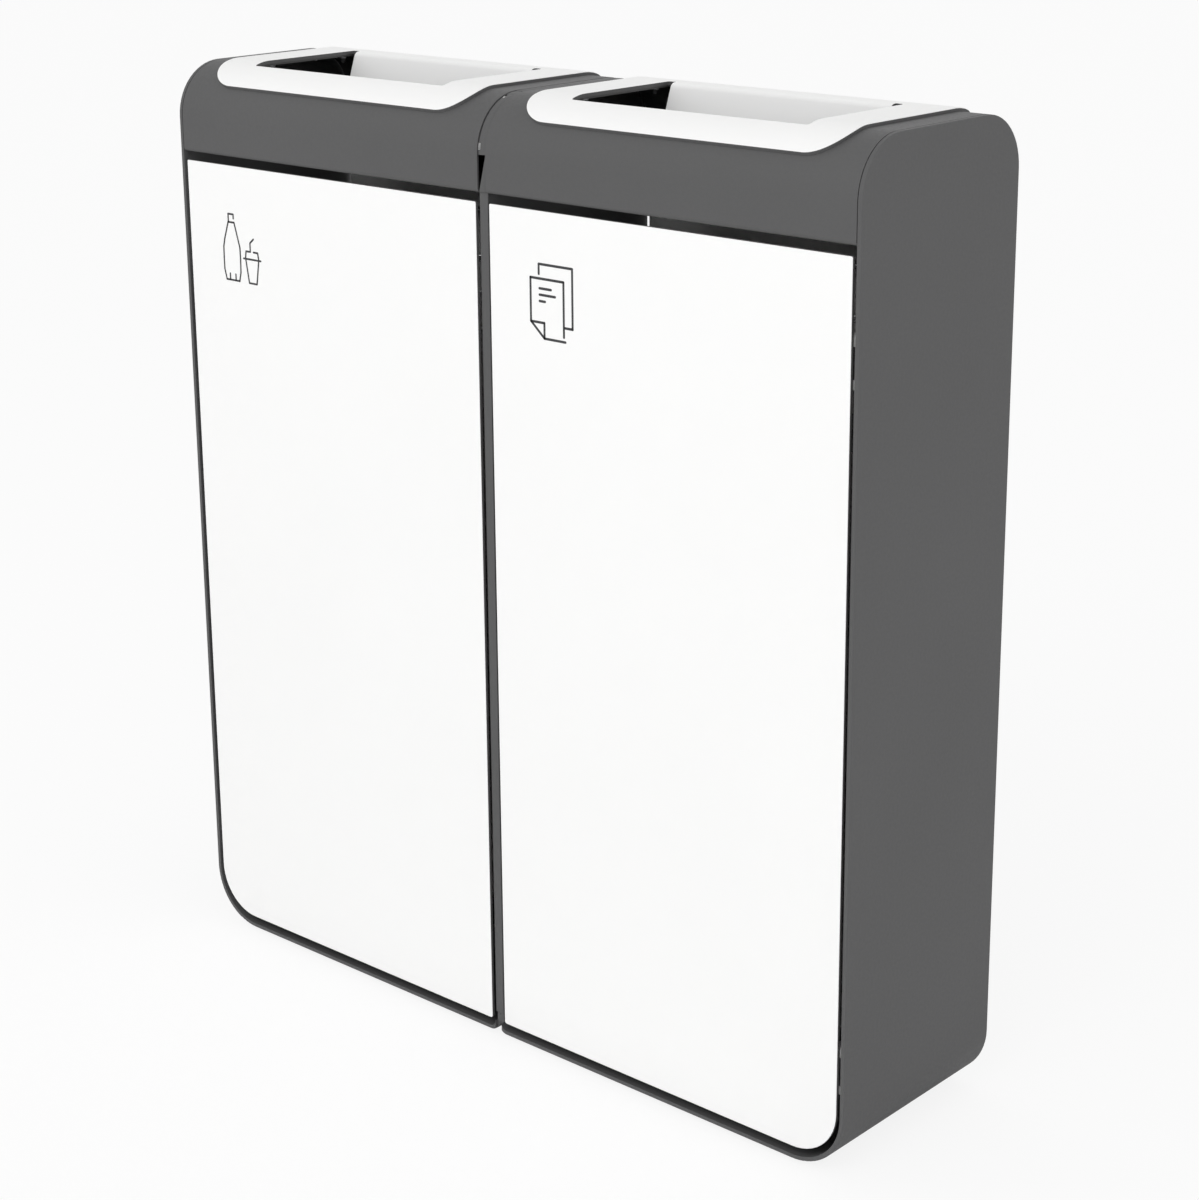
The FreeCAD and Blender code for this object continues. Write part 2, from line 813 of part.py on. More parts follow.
# ---- cranked hinges ----
def hinge_bracket(height):
    """Fixed half: two cranked ears joined by a web welded to the wall.

    The ears reach round behind the edge of the open door to the pin.
    """
    to_wall = hinge_x - seam_face
    sweep = hinge_sweep + hinge_sweep_clearance
    neck = hinge_neck_width
    half = hinge_bracket_height / 2
    ears = []
    outline = [
        (-hinge_eye_radius, 0, 0),
        (-hinge_eye_radius, hinge_bracket_reach, hinge_corner_radius),
        (to_wall, hinge_bracket_reach, 0),
        (to_wall, sweep, 0),
        (neck - hinge_eye_radius, sweep, hinge_corner_radius),
        (neck - hinge_eye_radius, 0, 0),
    ]
    corners = [(hinge_x - a, hinge_y + b, radius) for a, b, radius in outline]
    for base in (height - half, height + half - hinge_plate):
        ear = rounded_prism(corners, on_xy(base), vec(0, 0, hinge_plate))
        eye = rod(hinge_eye_radius, vec(hinge_x, hinge_y, base), upward, hinge_plate)
        bore = through_hole(hinge_pin_radius + hinge_pin_fit, vec(hinge_x, hinge_y, base), upward,
                            hinge_plate)
        ears.append(ear.fuse(eye).cut(bore))
    web = box((seam_face, hinge_y + sweep, height - half),
              (seam_face + hinge_plate, hinge_y + hinge_bracket_reach, height + half))
    return joined([web] + ears)


def hinge_leaf(height):
    """Moving half: a plate on the back of the door with two ears on the pin."""
    half = hinge_bracket_height / 2 - hinge_plate - hinge_leaf_play
    leaf_near = hinge_x + hinge_eye_radius + hinge_leaf_step
    leaf_far = leaf_near + hinge_leaf_length
    plate = box((leaf_near, door_back, height - half), (leaf_far, door_back + hinge_plate, height + half))
    ears = []
    for base in (height - half, height + half - hinge_plate):
        eye = rod(hinge_eye_radius, vec(hinge_x, hinge_y, base), upward, hinge_plate)
        arm = rounded_prism(
            [
                (hinge_x, hinge_y - hinge_eye_radius, 0),
                (hinge_x, hinge_y + hinge_eye_radius, 0),
                (leaf_near + hinge_arm_shoulder, hinge_y + hinge_eye_radius, hinge_corner_radius),
                (leaf_far - hinge_arm_end, door_back + hinge_plate, 0),
                (leaf_far - hinge_arm_end, door_back, 0),
                (leaf_near, door_back, 0),
            ],
            on_xy(base), vec(0, 0, hinge_plate),
        )
        bore = through_hole(hinge_pin_radius + hinge_run_fit, vec(hinge_x, hinge_y, base), upward,
                            hinge_plate)
        ears.append(arm.fuse(eye).cut(bore))
    return joined([plate] + ears)


def hinge_pins():
    pins = []
    for height in (hinge_lower_height, hinge_upper_height):
        low = height - hinge_bracket_height / 2 - hinge_pin_tail
        length = hinge_bracket_height + hinge_pin_tail
        shank = rod(hinge_pin_radius, vec(hinge_x, hinge_y, low), upward, length)
        head = rod(hinge_pin_head_radius, vec(hinge_x, hinge_y, low + length), upward,
                   hinge_pin_head_height)
        pins.append(joined([shank, head]))
    return group(pins)


# ---- catches, strike plates and buffers ----
def catch(height):
    face = door_back + strike_sheet + strike_gap + magnet_proud
    half = catch_height / 2
    body = rounded_prism(
        [
            (face, height - half, catch_corner),
            (face + catch_length, height - half, catch_corner),
            (face + catch_length, height + half, catch_corner),
            (face, height + half, catch_corner),
        ],
        on_yz(outer_face - catch_width), vec(catch_width, 0, 0),
    )
    centre = outer_face - catch_width / 2
    pocket = box((centre - magnet_width / 2, face - cut_overrun, height - magnet_height / 2),
                 (centre + magnet_width / 2, face + magnet_length - magnet_proud, height + magnet_height / 2))
    return body.cut(pocket)


def catch_magnets():
    magnets = []
    face = door_back + strike_sheet + strike_gap
    centre = outer_face - catch_width / 2
    for height in catch_heights:
        magnets.append(box((centre - magnet_width / 2, face, height - magnet_height / 2),
                           (centre + magnet_width / 2, face + magnet_length, height + magnet_height / 2)))
    return group(magnets)


def strike_plates():
    plates = []
    low_x = door_outer_edge - strike_edge_inset - strike_width
    for height in catch_heights:
        half = strike_height / 2
        plates.append(rounded_prism(
            [
                (low_x, height - half, strike_corner),
                (low_x + strike_width, height - half, strike_corner),
                (low_x + strike_width, height + half, strike_corner),
                (low_x, height + half, strike_corner),
            ],
            on_xz(door_back), vec(0, strike_sheet, 0),
        ))
    return group(plates)


def buffer_tabs():
    """Angles welded to the outer wall that carry the rubber buffers."""
    tabs = []
    face = door_back + buffer_gap + buffer_height
    for height in buffer_heights:
        path = [
            (outer_face, face + buffer_tab_width, 0),
            (outer_face, face, tab_bend_radius),
            (outer_face - buffer_tab_width - buffer_tab_overhang, face, 0),
        ]
        low = height - buffer_tab_height / 2
        tabs.append(bent_sheet(path, -buffer_tab_sheet, on_xy(low), vec(0, 0, buffer_tab_height)))
    return group(tabs)


def door_buffers():
    buffers = []
    for height in buffer_heights:
        base = vec(outer_face - buffer_tab_width / 2 - buffer_tab_overhang, door_back + buffer_gap, height)
        pad = rod(buffer_radius, base, rearward, buffer_height)
        rim = [e for e in pad.Edges if abs(middle_of(e).y - base.y) < match and e.Closed]
        buffers.append(pad.makeFillet(buffer_edge_round, rim))
    return group(buffers)


# ---- bag frame ----
def bag_frame():
    low_x = seam_face + bag_bar_side_gap + bag_bar_radius
    high_x = outer_face - bag_bar_side_gap - bag_bar_radius
    corners = [
        (low_x, bag_bar_front, bag_bar_corner),
        (high_x, bag_bar_front, bag_bar_corner),
        (high_x, bag_bar_rear, bag_bar_corner),
        (low_x, bag_bar_rear, bag_bar_corner),
    ]
    path = rounded_wire(corners, on_xy(bag_bar_height))
    start = path.Edges[0].valueAt(path.Edges[0].FirstParameter)
    tangent = path.Edges[0].tangentAt(path.Edges[0].FirstParameter)
    profile = Part.Wire(Part.makeCircle(bag_bar_radius, start, tangent))
    return path.makePipeShell([profile], True, True)


def hanger(x):
    """Eye plate screwed to the back panel; the bag frame turns in it."""
    eye = rod(hanger_eye_radius, vec(x - hanger_plate / 2, bag_bar_rear, bag_bar_height), outward,
              hanger_plate)
    low = bag_bar_height - hanger_foot_height
    arm = rounded_prism(
        [
            (bag_bar_rear - hanger_shoulder, bag_bar_height, 0),
            (bag_bar_rear, bag_bar_height + hanger_shoulder, 0),
            (back_inner, bag_bar_height + hanger_shoulder, 0),
            (back_inner, low, 0),
            (back_inner - hanger_toe, low, 0),
        ],
        on_yz(x - hanger_plate / 2), vec(hanger_plate, 0, 0),
    )
    foot = box((x - hanger_foot_width / 2, back_inner - hanger_foot_sheet, low),
               (x + hanger_foot_width / 2, back_inner, bag_bar_height - hanger_eye_radius))
    solid = joined([eye, arm, foot])
    return solid.cut(through_hole(bag_bar_radius + hanger_run_fit,
                                  vec(x - hanger_plate / 2, bag_bar_rear, bag_bar_height), outward,
                                  hanger_plate))


def hangers():
    return group([hanger(seam_face + hanger_inset), hanger(outer_face - hanger_inset)])


def bag_frame_rests():
    """Small angles on the walls; the side bars of the bag frame lie on them."""
    rests = []
    top = bag_bar_height - bag_bar_radius - rest_gap
    for edge, inward, thickness in ((seam_face, 1, -rest_sheet), (outer_face, -1, rest_sheet)):
        path = [
            (edge, top - rest_leg, 0),
            (edge, top, rest_bend_radius),
            (edge + inward * rest_width, top, 0),
        ]
        rests.append(bent_sheet(path, thickness, on_xz(bag_bar_front + rest_setback - rest_length / 2),
                                vec(0, rest_length, 0)))
    return group(rests)


# ---- glides and joining bolts ----
def glide_places():
    places = []
    for x in (glide_inset_seam, unit_width - glide_inset_outer):
        for y in glide_depths:
            places.append((x, y))
    return places


def glides():
    pieces = []
    for x, y in glide_places():
        pad = rod(glide_radius, vec(x, y, 0), upward, glide_height)
        rim = [e for e in pad.Edges if e.Closed and middle_of(e).z < match]
        pad = pad.makeFillet(glide_edge_round, rim)
        stem = rod(glide_stem_radius, vec(x, y, glide_height), upward, glide_stem_length)
        pieces.append(joined([pad, stem]))
    return group(pieces)


def joining_bolts():
    bolts = []
    length = 2 * wall + bolt_nut_height + bolt_tail
    for y in bolt_depths:
        for z in bolt_heights:
            head = hexagon(bolt_head_width, vec(wall, y, z), outward, bolt_head_height)
            shank = rod(bolt_radius, vec(wall, y, z), -outward, length)
            bolts.append(joined([head, shank]))
    return group(bolts)


def joining_nuts():
    nuts = []
    for y in bolt_depths:
        for z in bolt_heights:
            base = vec(-wall, y, z)
            nut = hexagon(bolt_head_width, base, -outward, bolt_nut_height)
            nuts.append(nut.cut(through_hole(bolt_radius + screw_fit, base, -outward, bolt_nut_height)))
    return group(nuts)


def unit_pieces():
    """Every piece of one unit, drawn as the right-hand one."""
    return {
        "base": base(),
        "outer_wall": outer_wall(),
        "seam_wall": seam_wall(),
        "hood": hood(),
        "insert": insert(),
        "insert_nuts": insert_nuts(),
        "seam_hood_rail": hood_rail(True),
        "outer_hood_rail": hood_rail(False),
        "hood_screws": hood_screws(),
        "back_panel": back_panel(),
        "back_tabs": back_tabs(),
        "back_screws": back_screws(),
        "door": door(),
        "door_stiffener": door_stiffener(),
        "upper_hinge_bracket": hinge_bracket(hinge_upper_height),
        "lower_hinge_bracket": hinge_bracket(hinge_lower_height),
        "upper_hinge_leaf": hinge_leaf(hinge_upper_height),
        "lower_hinge_leaf": hinge_leaf(hinge_lower_height),
        "hinge_pins": hinge_pins(),
        "upper_catch": catch(catch_heights[1]),
        "lower_catch": catch(catch_heights[0]),
        "catch_magnets": catch_magnets(),
        "strike_plates": strike_plates(),
        "buffer_tabs": buffer_tabs(),
        "door_buffers": door_buffers(),
        "bag_frame": bag_frame(),
        "bag_frame_hangers": hangers(),
        "bag_frame_rests": bag_frame_rests(),
        "glides": glides(),
    }


os.makedirs("parts", exist_ok=True)
nodes = {"joining_bolts": joining_bolts(), "joining_nuts": joining_nuts()}
for piece, shape in unit_pieces().items():
    nodes["right_" + piece] = shape
    nodes["left_" + piece] = shape.mirror(vec(0, 0, 0), outward)

for name, shape in sorted(nodes.items()):
    solids = shape.Solids
    volume = sum(solid.Volume for solid in solids)
    print(name, "solids", len(solids), "volume", round(volume), "valid", shape.isValid())
    shape.exportStep("parts/" + name + ".step")
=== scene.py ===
import json
import math

import bpy
from mathutils import Matrix, Vector


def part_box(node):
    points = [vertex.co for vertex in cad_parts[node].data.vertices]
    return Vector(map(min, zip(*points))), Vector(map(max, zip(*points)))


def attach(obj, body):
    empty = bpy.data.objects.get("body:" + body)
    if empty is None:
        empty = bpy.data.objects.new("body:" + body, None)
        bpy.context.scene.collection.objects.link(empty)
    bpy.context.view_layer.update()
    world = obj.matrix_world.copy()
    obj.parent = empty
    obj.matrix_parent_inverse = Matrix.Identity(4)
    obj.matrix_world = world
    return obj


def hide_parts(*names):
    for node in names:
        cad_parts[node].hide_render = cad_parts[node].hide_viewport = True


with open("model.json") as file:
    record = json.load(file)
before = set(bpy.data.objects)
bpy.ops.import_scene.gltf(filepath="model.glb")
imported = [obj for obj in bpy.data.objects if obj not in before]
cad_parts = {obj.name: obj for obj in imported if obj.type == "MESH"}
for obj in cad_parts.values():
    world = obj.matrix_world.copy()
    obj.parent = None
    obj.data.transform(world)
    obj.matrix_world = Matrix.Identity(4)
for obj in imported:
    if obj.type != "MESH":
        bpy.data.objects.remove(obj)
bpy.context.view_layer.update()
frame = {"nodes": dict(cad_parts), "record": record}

print("frame loaded:", len(frame["nodes"]), "nodes")

mm = 0.001  # sizes below are millimetres, turned into metres where they are used


# small helpers shared by every piece

def deselectAll():
    if bpy.context.object and bpy.context.object.mode != "OBJECT":
        bpy.ops.object.mode_set(mode="OBJECT")
    bpy.ops.object.select_all(action="DESELECT")


def makeActive(piece):
    deselectAll()
    piece.select_set(True)
    bpy.context.view_layer.objects.active = piece


def settle(piece):
    # the object ends at the origin, unturned and unscaled
    makeActive(piece)
    bpy.ops.object.transform_apply(location=True, rotation=True, scale=True)


def applyModifier(piece, kind, **settings):
    makeActive(piece)
    modifier = piece.modifiers.new(kind.lower(), kind)
    for key, value in settings.items():
        setattr(modifier, key, value)
    bpy.ops.object.modifier_apply(modifier=modifier.name)


def addBox(name, low, high):
    deselectAll()
    size = [(b - a) * mm for a, b in zip(low, high)]
    middle = [(a + b) / 2 * mm for a, b in zip(low, high)]
    bpy.ops.mesh.primitive_cube_add(size=1, location=middle)
    piece = bpy.context.object
    piece.name = name
    piece.scale = size
    settle(piece)
    return piece


def addRod(name, radius, start, direction, length, sides=32):
    deselectAll()
    way = Vector(direction).normalized()
    middle = (Vector(start) + way * length / 2) * mm
    bpy.ops.mesh.primitive_cylinder_add(vertices=sides, radius=radius * mm, depth=length * mm,
                                        location=middle)
    piece = bpy.context.object
    piece.name = name
    piece.rotation_mode = "QUATERNION"
    piece.rotation_quaternion = way.to_track_quat("Z", "Y")
    settle(piece)
    return piece


def selectParts(piece, part, test):
    # goes into edit mode with only the vertices, edges or faces that pass the test selected
    makeActive(piece)
    bpy.ops.object.mode_set(mode="EDIT")
    bpy.ops.mesh.select_mode(type=part)
    bpy.ops.mesh.select_all(action="DESELECT")
    bpy.ops.object.mode_set(mode="OBJECT")
    mesh = piece.data
    if part == "FACE":
        for face in mesh.polygons:
            face.select = test(face.center, face.normal)
    elif part == "EDGE":
        for edge in mesh.edges:
            a, b = (mesh.vertices[i].co for i in edge.vertices)
            edge.select = test(a, b)
    else:
        for vertex in mesh.vertices:
            vertex.select = test(vertex.co)
    bpy.ops.object.mode_set(mode="EDIT")


def leaveEdit():
    bpy.ops.object.mode_set(mode="OBJECT")


def combine(first, second, operation):
    # boolean of two pieces; the second one goes away
    applyModifier(first, "BOOLEAN", operation=operation, object=second, solver="EXACT")
    bpy.data.objects.remove(second)
    return first


def joinAll(name, pieces):
    deselectAll()
    for piece in pieces:
        piece.select_set(True)
    bpy.context.view_layer.objects.active = pieces[0]
    if len(pieces) > 1:
        bpy.ops.object.join()
    pieces[0].name = name
    return pieces[0]


def smoothByAngle(piece, degrees=35):
    makeActive(piece)
    bpy.ops.object.shade_smooth_by_angle(angle=math.radians(degrees))


def finishPiece(piece, material, body):
    piece.data.materials.clear()
    piece.data.materials.append(material)
    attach(piece, body)


# camera at the photograph's angle; the photograph's frame is 1199 x 1200

photoCamera = {
    "right": (0.74625480, 0.66561727, -0.00757772),
    "up": (-0.17745244, 0.20989630, 0.96148540),
    "back": (0.64157183, -0.71616837, 0.27475153),
    "place": (1.53469, -1.67279, 1.15176),
    "lens": 77.338,
    "shiftY": -0.08714,
}


def addCamera():
    deselectAll()
    bpy.ops.object.camera_add(location=photoCamera["place"])
    camera = bpy.context.object
    camera.name = "photoCamera"
    columns = [photoCamera["right"], photoCamera["up"], photoCamera["back"]]
    turn = Matrix(columns).transposed()
    camera.rotation_mode = "QUATERNION"
    camera.rotation_quaternion = turn.to_quaternion()
    camera.data.sensor_width = 36
    camera.data.lens = photoCamera["lens"]
    camera.data.shift_x = 0
    camera.data.shift_y = photoCamera["shiftY"]
    camera.data.clip_start = 0.05
    camera.data.clip_end = 200
    bpy.context.scene.camera = camera


addCamera()
print("camera placed")


# node helpers for the finishes

def startMaterial(name):
    material = bpy.data.materials.new(name)
    material.use_nodes = True
    tree = material.node_tree
    tree.nodes.clear()
    output = tree.nodes.new("ShaderNodeOutputMaterial")
    shader = tree.nodes.new("ShaderNodeBsdfPrincipled")
    tree.links.new(shader.outputs["BSDF"], output.inputs["Surface"])
    return material, tree, shader


def addNode(tree, kind, settings=None, **inputs):
    node = tree.nodes.new(kind)
    for key, value in (settings or {}).items():
        setattr(node, key, value)
    for key, value in inputs.items():
        socket = node.inputs[key.replace("_", " ")]
        if isinstance(value, bpy.types.NodeSocket):
            tree.links.new(value, socket)
        else:
            socket.default_value = value
    return node


def objectPoint(tree, stretch=(1, 1, 1)):
    place = addNode(tree, "ShaderNodeTexCoord").outputs["Object"]
    return addNode(tree, "ShaderNodeMapping", Vector=place, Scale=stretch).outputs["Vector"]


def noise(tree, point, scale, detail=2.0, roughness=0.5):
    return addNode(tree, "ShaderNodeTexNoise", Vector=point, Scale=scale, Detail=detail,
                   Roughness=roughness).outputs["Fac"]


def spread(tree, value, low, high, fromLow=0.3, fromHigh=0.7):
    node = addNode(tree, "ShaderNodeMapRange", Value=value)
    node.inputs["From Min"].default_value = fromLow
    node.inputs["From Max"].default_value = fromHigh
    node.inputs["To Min"].default_value = low
    node.inputs["To Max"].default_value = high
    return node.outputs["Result"]


def blendColours(tree, factor, first, second):
    node = addNode(tree, "ShaderNodeMix", {"data_type": "RGBA"})
    tree.links.new(factor, node.inputs["Factor"])
    for socket, colour in zip([s for s in node.inputs if s.type == "RGBA"], (first, second)):
        if isinstance(colour, bpy.types.NodeSocket):
            tree.links.new(colour, socket)
        else:
            socket.default_value = (*colour, 1)
    return [s for s in node.outputs if s.type == "RGBA"][0]


def bumps(tree, shader, layers):
    # each layer is a height, a strength and a depth in millimetres; they stack up on one normal
    last = None
    for height, strength, depth in layers:
        node = addNode(tree, "ShaderNodeBump", Height=height, Strength=strength, Distance=depth * mm)
        if last:
            tree.links.new(last, node.inputs["Normal"])
        last = node.outputs["Normal"]
    tree.links.new(last, shader.inputs["Normal"])


def scaled(colour, factor):
    return tuple(min(1.0, channel * factor) for channel in colour)


def coatColour(tree, look, cloud, grain):
    # the coat's own colour with its slow drift and its fine flecks
    base = blendColours(tree, spread(tree, cloud, 0, 1), scaled(look["colour"], 1 - look["cloud"]),
                        scaled(look["colour"], 1 + look["cloud"]))
    return blendColours(tree, spread(tree, grain, 0, look["fleck"]), base,
                        scaled(look["colour"], look["fleckTone"]))


def facing(tree, way, least):
    # 1 where the surface faces along way, 0 on its edges and its other side
    normal = addNode(tree, "ShaderNodeTexCoord").outputs["Normal"]
    along = addNode(tree, "ShaderNodeVectorMath", {"operation": "DOT_PRODUCT"})
    tree.links.new(normal, along.inputs[0])
    along.inputs[1].default_value = way
    return spread(tree, along.outputs["Value"], 0, 1, least - 0.04, least + 0.04)


def powderCoat(name, look, faceLook=None):
    # with a faceLook, only the side that faces faceLook["way"] has that colour
    material, tree, shader = startMaterial(name)
    point = objectPoint(tree)
    cloud = noise(tree, point, 5.0, 3.0)
    grain = noise(tree, point, look["grainScale"], 2.0, 0.6)
    peel = noise(tree, point, look["peelScale"], 2.0)
    colour = coatColour(tree, look, cloud, grain)
    if faceLook:
        face = facing(tree, faceLook["way"], faceLook["least"])
        colour = blendColours(tree, face, colour, coatColour(tree, faceLook, cloud, grain))
    tree.links.new(colour, shader.inputs["Base Color"])
    rough = spread(tree, peel, look["roughness"] - 0.05, look["roughness"] + 0.05)
    tree.links.new(rough, shader.inputs["Roughness"])
    shader.inputs["Specular IOR Level"].default_value = look["specular"]
    bumps(tree, shader, [(peel, look["peelStrength"], 0.25), (grain, look["grainStrength"], 0.05)])
    return material


def platedSteel(name, look):
    material, tree, shader = startMaterial(name)
    point = objectPoint(tree)
    brushed = noise(tree, objectPoint(tree, look["brush"]), look["brushScale"], 3.0, 0.6)
    cloud = noise(tree, point, 40.0, 3.0)
    base = blendColours(tree, spread(tree, cloud, 0, 1), scaled(look["colour"], 0.93),
                        scaled(look["colour"], 1.05))
    tree.links.new(base, shader.inputs["Base Color"])
    tree.links.new(spread(tree, brushed, look["roughness"] - 0.07, look["roughness"] + 0.09),
                   shader.inputs["Roughness"])
    shader.inputs["Metallic"].default_value = 1.0
    bumps(tree, shader, [(brushed, 0.25, 0.03), (cloud, 0.08, 0.1)])
    return material


def mouldedPlastic(name, look):
    material, tree, shader = startMaterial(name)
    point = objectPoint(tree)
    spark = addNode(tree, "ShaderNodeTexVoronoi", Vector=point, Scale=look["grainScale"]).outputs["Distance"]
    cloud = noise(tree, point, 30.0, 3.0)
    base = blendColours(tree, spread(tree, cloud, 0, 1), scaled(look["colour"], 0.94),
                        scaled(look["colour"], 1.05))
    tree.links.new(base, shader.inputs["Base Color"])
    tree.links.new(spread(tree, cloud, look["roughness"] - 0.05, look["roughness"] + 0.05),
                   shader.inputs["Roughness"])
    shader.inputs["Specular IOR Level"].default_value = 0.4
    bumps(tree, shader, [(spark, 0.2, 0.04), (cloud, 0.1, 0.2)])
    return material


finishLooks = {
    "greyCoat": {"colour": (0.0885, 0.0885, 0.0895), "cloud": 0.03, "fleck": 0.35, "fleckTone": 1.25,
                 "grainScale": 1500.0, "grainStrength": 0.35, "peelScale": 330.0, "peelStrength": 0.16,
                 "roughness": 0.58, "specular": 0.32},
    "whiteCoat": {"colour": (0.925, 0.925, 0.92), "cloud": 0.006, "fleck": 0.2, "fleckTone": 0.97,
                  "grainScale": 1500.0, "grainStrength": 0.22, "peelScale": 300.0, "peelStrength": 0.12,
                  "roughness": 0.45, "specular": 0.4},
    # painted light: the lining colour below lightens the back panel's inside face, standing in for light that
    # comes in through the mouth and the slot
    "paintedLightLining": {"colour": (0.74, 0.74, 0.735), "cloud": 0.02, "fleck": 0.3, "fleckTone": 0.94},
    "zinc": {"colour": (0.60, 0.61, 0.62), "brush": (1, 1, 0.05), "brushScale": 900.0, "roughness": 0.34},
    "brightSteel": {"colour": (0.66, 0.66, 0.67), "brush": (1, 1, 0.02), "brushScale": 1200.0,
                    "roughness": 0.2},
    "chromedBar": {"colour": (0.72, 0.72, 0.73), "brush": (0.1, 1, 1), "brushScale": 700.0,
                   "roughness": 0.13},
    "nickel": {"colour": (0.42, 0.42, 0.43), "brush": (1, 1, 0.1), "brushScale": 800.0, "roughness": 0.3},
    "whitePlastic": {"colour": (0.78, 0.78, 0.77), "grainScale": 1400.0, "roughness": 0.5},
    "blackPlastic": {"colour": (0.03, 0.03, 0.031), "grainScale": 1200.0, "roughness": 0.5},
    "blackRubber": {"colour": (0.035, 0.035, 0.035), "grainScale": 900.0, "roughness": 0.75},
    "printInk": {"colour": (0.040, 0.040, 0.043), "grainScale": 2200.0, "roughness": 0.55},
}

# the doors and inserts are white on their show face alone; the back panels' inside face is painted pale, a
# painted light that stands in for light coming in through the mouth and the slot
greyCoat = powderCoat("greyPowderCoat", finishLooks["greyCoat"])
doorCoat = powderCoat("doorPowderCoat", finishLooks["greyCoat"],
                      {**finishLooks["whiteCoat"], "way": (0, -1, 0), "least": 0.5})
insertCoat = powderCoat("insertPowderCoat", finishLooks["greyCoat"],
                        {**finishLooks["whiteCoat"], "way": (0, 0, 1), "least": 0.26})
# the back panel's inside face gets the pale lining colour as painted light
backCoatWithPaintedLight = powderCoat("backPanelCoatWithPaintedLight", finishLooks["greyCoat"],
                      {**finishLooks["paintedLightLining"], "way": (0, -1, 0), "least": 0.5})
zinc = platedSteel("zincPlate", finishLooks["zinc"])
brightSteel = platedSteel("turnedSteel", finishLooks["brightSteel"])
chromedBar = platedSteel("chromedBar", finishLooks["chromedBar"])
nickel = platedSteel("nickelPlate", finishLooks["nickel"])
whitePlastic = mouldedPlastic("whiteCatchPlastic", finishLooks["whitePlastic"])
blackPlastic = mouldedPlastic("blackGlidePlastic", finishLooks["blackPlastic"])
blackRubber = mouldedPlastic("blackRubber", finishLooks["blackRubber"])
printInk = mouldedPlastic("printInk", finishLooks["printInk"])

slotFinishes = {
    "grey_casing": greyCoat,
    "grey_hood": greyCoat,
    "grey_back": backCoatWithPaintedLight,
    "grey_brackets": greyCoat,
    "white_insert": insertCoat,
    "white_door": doorCoat,
    "white_stiffener": greyCoat,
    "zinc_hinges": zinc,
    "zinc_fasteners": zinc,
    "strike_steel": zinc,
    "steel_pins": brightSteel,
    "magnet_plates": nickel,
    "wire_steel": chromedBar,
    "catch_plastic": whitePlastic,
    "buffer_rubber": blackRubber,
    "glide_plastic": blackPlastic,
}


def dressFrame():
    slotOfNode = {part["node"]: part["material_slot"] for part in frame["record"]["subparts"]}
    for name, node in frame["nodes"].items():
        node.data.materials.clear()
        node.data.materials.append(slotFinishes[slotOfNode[name]])


dressFrame()
print("finishes made and put on the frame's nodes")


# printed pictograms on the doors: generic bottle, cup and paper sheets; points are x and z in millimetres

bottlePrint = {
    "name": "bottlePictogram",
    "body": "left_swing_door",
    "stroke": 1.8,
    "lines": [
        [(-335.9, 733.7), (-335.9, 741.5), (-328.7, 741.5), (-328.7, 737.6)],
        [(-336.3, 733.7), (-327.9, 733.7)],
        [(-336.3, 733.7), (-342.2, 717.4), (-344.2, 709.5), (-344.4, 699.0), (-344.2, 688.0), (-341.6, 678.3),
         (-323.2, 678.3), (-321.0, 687.0), (-320.7, 699.0), (-320.9, 710.5), (-327.9, 733.7)],
        [(-336.5, 684.2), (-336.5, 678.3)],
        [(-328.5, 684.2), (-328.5, 678.3)],
    ],
}

cupPrint = {
    "name": "cupPictogram",
    "body": "left_swing_door",
    "stroke": 1.8,
    "lines": [
        [(-301.2, 720.8), (-306.2, 716.6), (-306.2, 708.3), (-312.3, 708.3), (-313.5, 701.1)],
        [(-301.7, 708.3), (-295.9, 708.3), (-294.5, 701.1)],
        [(-316.1, 701.1), (-291.9, 701.1)],
        [(-313.2, 701.1), (-309.3, 678.2), (-298.5, 678.2), (-294.7, 701.1)],
    ],
}

sheetsPrint = {
    "name": "paperSheetsPictogram",
    "body": "right_swing_door",
    "stroke": 2.2,
    "lines": [
        [(65.2, 733.6), (65.2, 742.2), (103.4, 742.2), (103.4, 690.6), (94.4, 690.6)],
        [(93.4, 682.4), (93.4, 729.7), (55.5, 729.7), (55.5, 691.8), (71.0, 678.4), (95.0, 678.4)],
        [(56.6, 691.8), (71.0, 691.8), (71.0, 679.2)],
        [(65.9, 721.3), (79.0, 721.3)],
        [(65.9, 715.8), (83.6, 715.8)],
        [(65.9, 710.3), (72.1, 710.3)],
    ],
}

inkFilm = {"thickness": 0.12, "sink": 0.03, "endFacets": 4}


def strokeBar(start, end, width, face):
    # one bar with round ends, lying on the door
    a = Vector((start[0], 0, start[1]))
    b = Vector((end[0], 0, end[1]))
    middle = (a + b) / 2
    film = inkFilm["thickness"] + inkFilm["sink"]
    deselectAll()
    bpy.ops.mesh.primitive_cube_add(size=1)
    bar = bpy.context.object
    bar.scale = (((b - a).length + width) * mm, film * mm, width * mm)
    settle(bar)
    half = width / 2 * mm
    selectParts(bar, "EDGE", lambda p, q: abs(p.x - q.x) < 1e-7 and abs(p.z - q.z) < 1e-7)
    bpy.ops.mesh.bevel(offset=half * 0.98, segments=inkFilm["endFacets"], affect="EDGES")
    leaveEdit()
    bar.rotation_euler = (0, -math.atan2(b.z - a.z, b.x - a.x), 0)
    bar.location = (middle.x * mm, face - (inkFilm["thickness"] - film / 2) * mm, middle.z * mm)
    settle(bar)
    return bar


def printPictogram(pictogram):
    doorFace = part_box("left_door")[0][1]
    whole = None
    for line in pictogram["lines"]:
        for start, end in zip(line, line[1:]):
            bar = strokeBar(start, end, pictogram["stroke"], doorFace)
            whole = combine(whole, bar, "UNION") if whole else bar
    whole.name = pictogram["name"]
    finishPiece(whole, printInk, pictogram["body"])
    return whole


for pictogram in (bottlePrint, cupPrint, sheetsPrint):
    printPictogram(pictogram)
print("pictograms printed")


# what repeats is modelled once and copied, each copy with its own mesh

